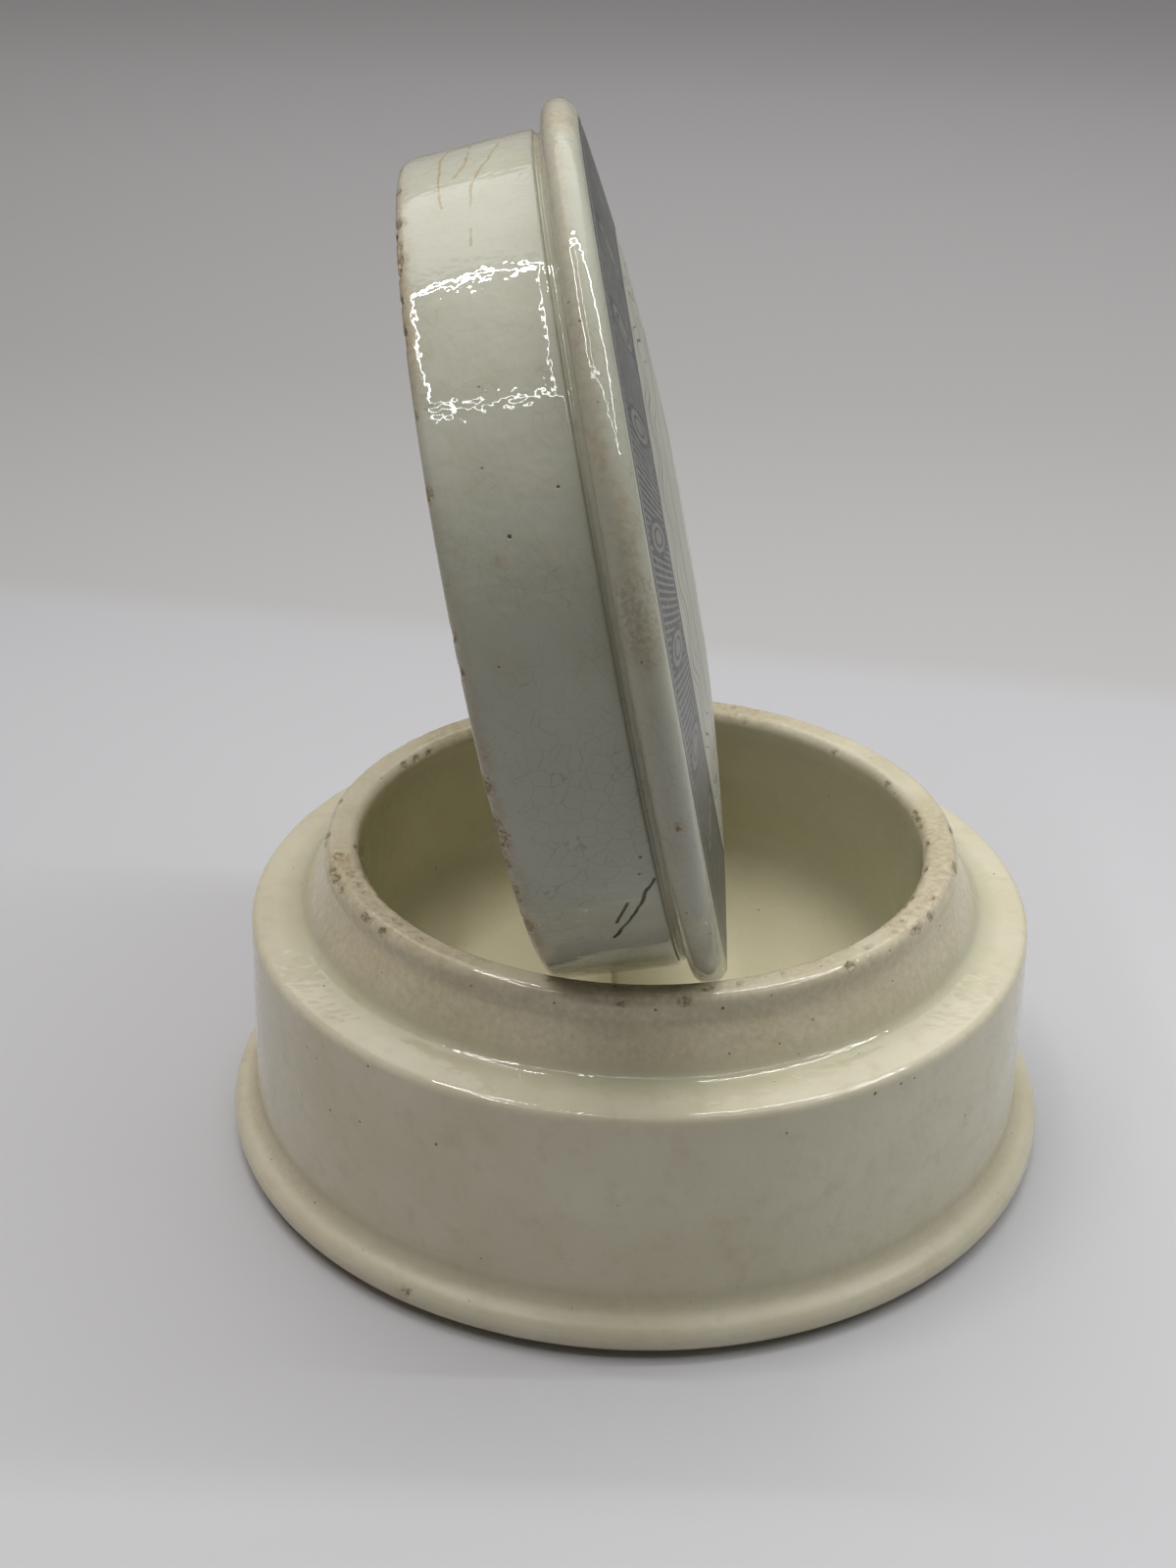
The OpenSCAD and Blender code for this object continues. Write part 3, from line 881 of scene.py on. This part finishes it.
def print_on_face(material):
    """Adds the transfer print under the glaze: slate ink in fine lines, a little broken."""
    tree = material.node_tree
    shader = tree.nodes["Principled BSDF"]
    under = shader.inputs["Base Color"].links[0].from_socket
    own = node(tree, "ShaderNodeAttribute", attribute_name="own_mm").outputs["Vector"]
    parts = node(tree, "ShaderNodeSeparateXYZ", {0: own})
    flat = node(tree, "ShaderNodeCombineXYZ", {"X": parts.outputs["X"], "Y": parts.outputs["Y"]})
    radius = node(tree, VECTOR_MATH, {0: flat.outputs[0]}, operation="LENGTH").outputs["Value"]
    angle = node(tree, MATH, {0: parts.outputs["Y"], 1: parts.outputs["X"]}, operation="ARCTAN2")
    angle = angle.outputs[0]
    ink = 0.0
    for waves, reach, lines in PRINT_LINES:
        turns = node(tree, MATH, {0: angle, 1: waves}, operation="MULTIPLY")
        wave = node(tree, MATH, {0: turns.outputs[0]}, operation="COSINE")
        waved = node(tree, MATH, {0: wave.outputs[0], 1: -reach, 2: radius}, operation="MULTIPLY_ADD")
        share = node(tree, MATH, {0: waved.outputs[0], 1: 1 / LID_R}, operation="MULTIPLY")
        ramp = node(tree, "ShaderNodeValToRGB", {"Fac": share.outputs[0]})
        ramp.color_ramp.interpolation = "CONSTANT"
        ramp.color_ramp.elements[0].color = (0, 0, 0, 1)
        ramp.color_ramp.elements.remove(ramp.color_ramp.elements[1])
        for start, end in lines:
            ramp.color_ramp.elements.new(start / LID_R).color = (1, 1, 1, 1)
            ramp.color_ramp.elements.new(end / LID_R).color = (0, 0, 0, 1)
        ink = node(tree, MATH, {0: ink, 1: ramp.outputs["Color"]}, operation="MAXIMUM").outputs[0]

    # A row of ovals, standing outwards, each with two outlines
    oval_turn = node(tree, MATH, {0: angle, 1: OVALS / math.tau}, operation="MULTIPLY")
    within = node(tree, MATH, {0: oval_turn.outputs[0]}, operation="FRACT")
    centred = node(tree, MATH, {0: within.outputs[0], 1: 0.5}, operation="SUBTRACT")
    spacing = math.tau / OVALS * OVAL_AT / OVAL_HALF_WIDE
    sideways = node(tree, MATH, {0: centred.outputs[0], 1: spacing}, operation="MULTIPLY")
    outwards = node(tree, MATH, {0: radius, 1: 1 / OVAL_HALF_TALL, 2: -OVAL_AT / OVAL_HALF_TALL},
                    operation="MULTIPLY_ADD")
    spot = node(tree, "ShaderNodeCombineXYZ", {"X": sideways.outputs[0], "Y": outwards.outputs[0]})
    oval = node(tree, VECTOR_MATH, {0: spot.outputs[0]}, operation="LENGTH").outputs["Value"]
    outline, inner_line = [
        node(tree, MATH, {0: oval, 1: middle, 2: half}, operation="COMPARE")
        for middle, half in (OVAL_OUTLINE, OVAL_INNER_LINE)]
    oval_ink = node(tree, MATH, {0: outline.outputs[0], 1: inner_line.outputs[0]}, operation="MAXIMUM")
    past_oval = node(tree, MATH, {0: oval, 1: 1.0}, operation="GREATER_THAN")

    # Slanting hatches fill the band round them
    hatch_turn = node(tree, MATH, {0: radius, 1: HATCH_SLANT}, operation="MULTIPLY")
    hatch_phase = node(tree, MATH, {0: angle, 1: HATCHES, 2: hatch_turn.outputs[0]},
                       operation="MULTIPLY_ADD")
    hatch_wave = node(tree, MATH, {0: hatch_phase.outputs[0]}, operation="SINE")
    hatch = node(tree, MATH, {0: hatch_wave.outputs[0], 1: HATCH_FROM}, operation="GREATER_THAN")
    hatched = node(tree, MATH, {0: hatch.outputs[0], 1: past_oval.outputs[0]}, operation="MULTIPLY")
    border = node(tree, MATH, {0: hatched.outputs[0], 1: oval_ink.outputs[0]}, operation="MAXIMUM")
    in_band = node(tree, MATH, {0: radius, 1: (BAND_IN + BAND_OUT) / 2, 2: (BAND_OUT - BAND_IN) / 2},
                   operation="COMPARE")
    bled = node(tree, MATH, {0: border.outputs[0], 1: BLEED}, operation="MAXIMUM")
    banded = node(tree, MATH, {0: bled.outputs[0], 1: in_band.outputs[0]}, operation="MULTIPLY")
    ink = node(tree, MATH, {0: ink, 1: banded.outputs[0]}, operation="MAXIMUM").outputs[0]

    # Only the face carries ink, and it is thin in places
    on_face = node(tree, MATH, {0: parts.outputs["Z"], 1: FACE_FROM}, operation="GREATER_THAN")
    broken = node(tree, NOISE, {"Vector": own, "Scale": 1.4, "Detail": 3.0})
    held = node(tree, RANGE, {
        "Value": broken.outputs["Fac"], "From Min": 0.3, "From Max": 0.5, "To Min": 0.8, "To Max": 1.0})
    inked = node(tree, MATH, {0: ink, 1: on_face.outputs[0]}, operation="MULTIPLY")
    share = node(tree, MATH, {0: inked.outputs[0], 1: held.outputs[0]}, operation="MULTIPLY")
    layers = {0: share.outputs[0], UNDER: under, OVER: linear(PRINT_INK)}
    printed = node(tree, MIX, layers, data_type="RGBA")
    tree.links.new(printed.outputs[MIXED], shader.inputs["Base Color"])


# Half the width of the sheet, in metres
SHEET_HALF = 4


def floor_sheet():
    """One large flat sheet, which the camera sees as floor and, past the fold, as backdrop."""
    mesh = bpy.data.meshes.new("floor_sheet")
    corners = [(x * SHEET_HALF, y * SHEET_HALF, 0) for x, y in ((-1, -1), (1, -1), (1, 1), (-1, 1))]
    mesh.from_pydata(corners, [], [(0, 1, 2, 3)])
    mesh.update()
    sheet = bpy.data.objects.new("floor_sheet", mesh)
    bpy.context.scene.collection.objects.link(sheet)
    return sheet


# Two places on the painted line where the flat floor seems to turn to backdrop, in metres
FOLD_LEFT = Vector((-0.101, 0.126))
FOLD_RIGHT = Vector((0.0758, 0.0972))
# Painted shading of the paper at distances beyond the fold, a painted shade just past the fold and paler
# paint further out where less lamplight falls, and where they start and how far they run, in metres
FADE_LEAD = 0.01
FADE_REACH = 0.7
PAPER_PAINTED_SHADING = ((-0.01, "#C6C6C8"), (0.0, "#C6C6C8"), (0.008, "#C1C0BE"), (0.13, "#C9C8C6"),
              (0.2, "#D3D2D1"), (0.31, "#E0E0DF"), (0.46, "#ECECEC"), (0.69, "#EEEEEE"))
PAPER_ROUGHNESS = 0.6


def paper_with_painted_light():
    """Matt paper: light grey up to a soft fold, painted darker just past it as shade, and painted ever
    paler further beyond, where less lamplight falls.
    """
    material = bpy.data.materials.new("paper_with_painted_light")
    material.use_nodes = True
    tree = material.node_tree
    shader = tree.nodes["Principled BSDF"]
    shader.inputs["Roughness"].default_value = PAPER_ROUGHNESS
    place = node(tree, "ShaderNodeTexCoord").outputs["Object"]
    along = (FOLD_RIGHT - FOLD_LEFT).normalized()
    beyond = node(tree, VECTOR_MATH, {0: place, 1: (-along.y, along.x, 0)}, operation="DOT_PRODUCT")
    fade_from = FOLD_LEFT.dot(Vector((-along.y, along.x))) - FADE_LEAD
    away = node(tree, RANGE, {
        "Value": beyond.outputs["Value"], "From Min": fade_from, "From Max": fade_from + FADE_REACH})
    fade = node(tree, "ShaderNodeValToRGB", {"Fac": away.outputs[0]})
    stops = fade.color_ramp.elements
    stops[0].color = linear(PAPER_PAINTED_SHADING[0][1])
    stops[1].color = linear(PAPER_PAINTED_SHADING[-1][1])
    for reach, colour in PAPER_PAINTED_SHADING[1:-1]:
        stops.new((reach + FADE_LEAD) / FADE_REACH).color = linear(colour)
    tree.links.new(fade.outputs["Color"], shader.inputs["Base Color"])
    return material


def strip_light(name, at, size, facing, watts):
    """A soft white rectangular lamp, turned to face along a direction."""
    data = bpy.data.lights.new(name, "AREA")
    data.shape = "RECTANGLE"
    data.size = size[0]
    data.size_y = size[1]
    data.energy = watts
    lamp = bpy.data.objects.new(name, data)
    lamp.rotation_euler = Vector(facing).to_track_quat("-Z", "Y").to_euler()
    lamp.location = at
    bpy.context.scene.collection.objects.link(lamp)


# Strip lamps that face down from one height: place in X and Y and size both ways in metres, then watts
STRIP_H = 0.3
STRIP_W = 0.006
LONG_STRIP = 0.42
CROSS_STRIP = 0.155
STRIPS = (("ring_near", (0.07, -0.137), (LONG_STRIP, STRIP_W), 0.13),
          ("ring_far", (0.07, 0.027), (LONG_STRIP, STRIP_W), 0.56),
          ("ring_left", (-0.14, -0.055), (STRIP_W, CROSS_STRIP), 0.16),
          ("ring_right", (-0.05, -0.055), (STRIP_W, CROSS_STRIP), 0.05),
          ("ring_end", (0.25, -0.055), (STRIP_W, CROSS_STRIP), 0.19))
DOWN = (0, 0, -1)

# Soft panel behind the object: place and size in metres, the way it faces, watts
PANEL_AT = (0.0, 0.32, 0.5)
PANEL_SIZE = (0.6, 0.4)
PANEL_FACING = (0, -0.3, -1)
PANEL_WATTS = 0.76


def lights():
    """Thin strips overhead, two long ones and three across between them, and a soft panel behind."""
    for name, (x, y), size, watts in STRIPS:
        strip_light(name, (x, y, STRIP_H), size, DOWN, watts)
    strip_light("panel", PANEL_AT, PANEL_SIZE, PANEL_FACING, PANEL_WATTS)


# Room light: its colour from the left and from the right, and its strength from in front and behind
WARM_SIDE = "#E3CFC8"
COOL_SIDE = "#D3D6DC"
ROOM_FRONT = 0.05
ROOM_BACK = 0.33


def room():
    """Dim room light: warm from the left, cool from the right, and darkest from in front."""
    world = bpy.data.worlds.new("room")
    bpy.context.scene.world = world
    world.use_nodes = True
    tree = world.node_tree
    sky = tree.nodes["Background"]
    way = node(tree, "ShaderNodeSeparateXYZ", {0: node(tree, "ShaderNodeTexCoord").outputs["Generated"]})
    side = node(tree, RANGE, {"Value": way.outputs["X"], "From Min": -0.8, "From Max": 0.5})
    layers = {0: side.outputs[0], UNDER: linear(WARM_SIDE), OVER: linear(COOL_SIDE)}
    tint = node(tree, MIX, layers, data_type="RGBA")
    front = node(tree, RANGE, {
        "Value": way.outputs["Y"], "From Min": -0.9, "From Max": 0.1, "To Min": ROOM_FRONT,
        "To Max": ROOM_BACK})
    tree.links.new(tint.outputs[MIXED], sky.inputs["Color"])
    tree.links.new(front.outputs[0], sky.inputs["Strength"])


def scene_camera():
    """The photograph's camera."""
    forward = Vector((math.sin(CAMERA_YAW) * math.cos(CAMERA_PITCH),
                      math.cos(CAMERA_YAW) * math.cos(CAMERA_PITCH), -math.sin(CAMERA_PITCH)))
    level = Vector((math.cos(CAMERA_YAW), -math.sin(CAMERA_YAW), 0))
    upright = level.cross(forward)
    right = level * math.cos(CAMERA_ROLL) + upright * math.sin(CAMERA_ROLL)
    up = upright * math.cos(CAMERA_ROLL) - level * math.sin(CAMERA_ROLL)
    data = bpy.data.cameras.new("camera")
    data.sensor_fit = "AUTO"
    data.sensor_width = SENSOR
    data.lens = CAMERA_FOCAL_PX / PHOTO_LONG_SIDE * SENSOR
    data.clip_start = CLIP_START
    data.clip_end = CLIP_END
    camera = bpy.data.objects.new("camera", data)
    turn = Matrix((right, up, -forward)).transposed().to_4x4()
    camera.matrix_world = Matrix.Translation(CAMERA_AT) @ turn
    bpy.context.scene.collection.objects.link(camera)
    bpy.context.scene.camera = camera


# The two glazes: colour, deeper colour of the clouds, colour inside (in the pot, painted lighter as fill
# light the lid keeps out), roughness, strength of the crazing
POT_GLAZE = ("#D9D3BA", "#CBC3A4", "#E6DFBE", 0.025, 0.03)
LID_GLAZE = ("#B3B3A3", "#A1A190", "#B4B092", 0.02, 0.35)

pot_specks = [(on_wall(a, h, BODY_TOP_R, BODY_LOW_R, SHOULDER_H), size) for a, h, size in POT_SPECKS]
pot_specks += [(on_wall(a, h, RIM_R, RIM_R, RIM_H), size) for a, h, size in COLLAR_SPECKS]
lid_specks = [(on_wall(a, s, SKIRT_TOP_R, SKIRT_R, SKIRT_LEN), size) for a, s, size in LID_SPECKS]
lid_lines = []
for chains, drawn in ((STAINED_CRAZES, CRAZE_LINE), (INK_STROKES, INK_LINE)):
    for chain in chains:
        places = [on_wall(a, s, SKIRT_TOP_R, SKIRT_R, SKIRT_LEN) for a, s in chain]
        lid_lines += [(start, end, *drawn) for start, end in zip(places, places[1:])]

scene_camera()
pot_glaze = glazed_earthenware("cream_glazed_earthenware", *POT_GLAZE, pot_specks, [])
lid_glaze = glazed_earthenware("grey_cream_glazed_earthenware", *LID_GLAZE, lid_specks, lid_lines)
print_on_face(lid_glaze)

spinning = turning_tree()
pot = turned("pot_glazed", pot_section(), POT_TURNS, pot_glaze, spinning)
lid = turned("lid_glazed", lid_section(), LID_TURNS, lid_glaze, spinning)
bpy.data.node_groups.remove(spinning)
wear_pot(pot.data)
wear_lid(lid.data)

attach(pot, "pot")
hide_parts("pot")
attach(lid, "lid")
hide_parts("lid")

paper = floor_sheet()
paper.data.materials.append(paper_with_painted_light())
lights()
room()
bpy.context.scene.view_settings.view_transform = "Standard"
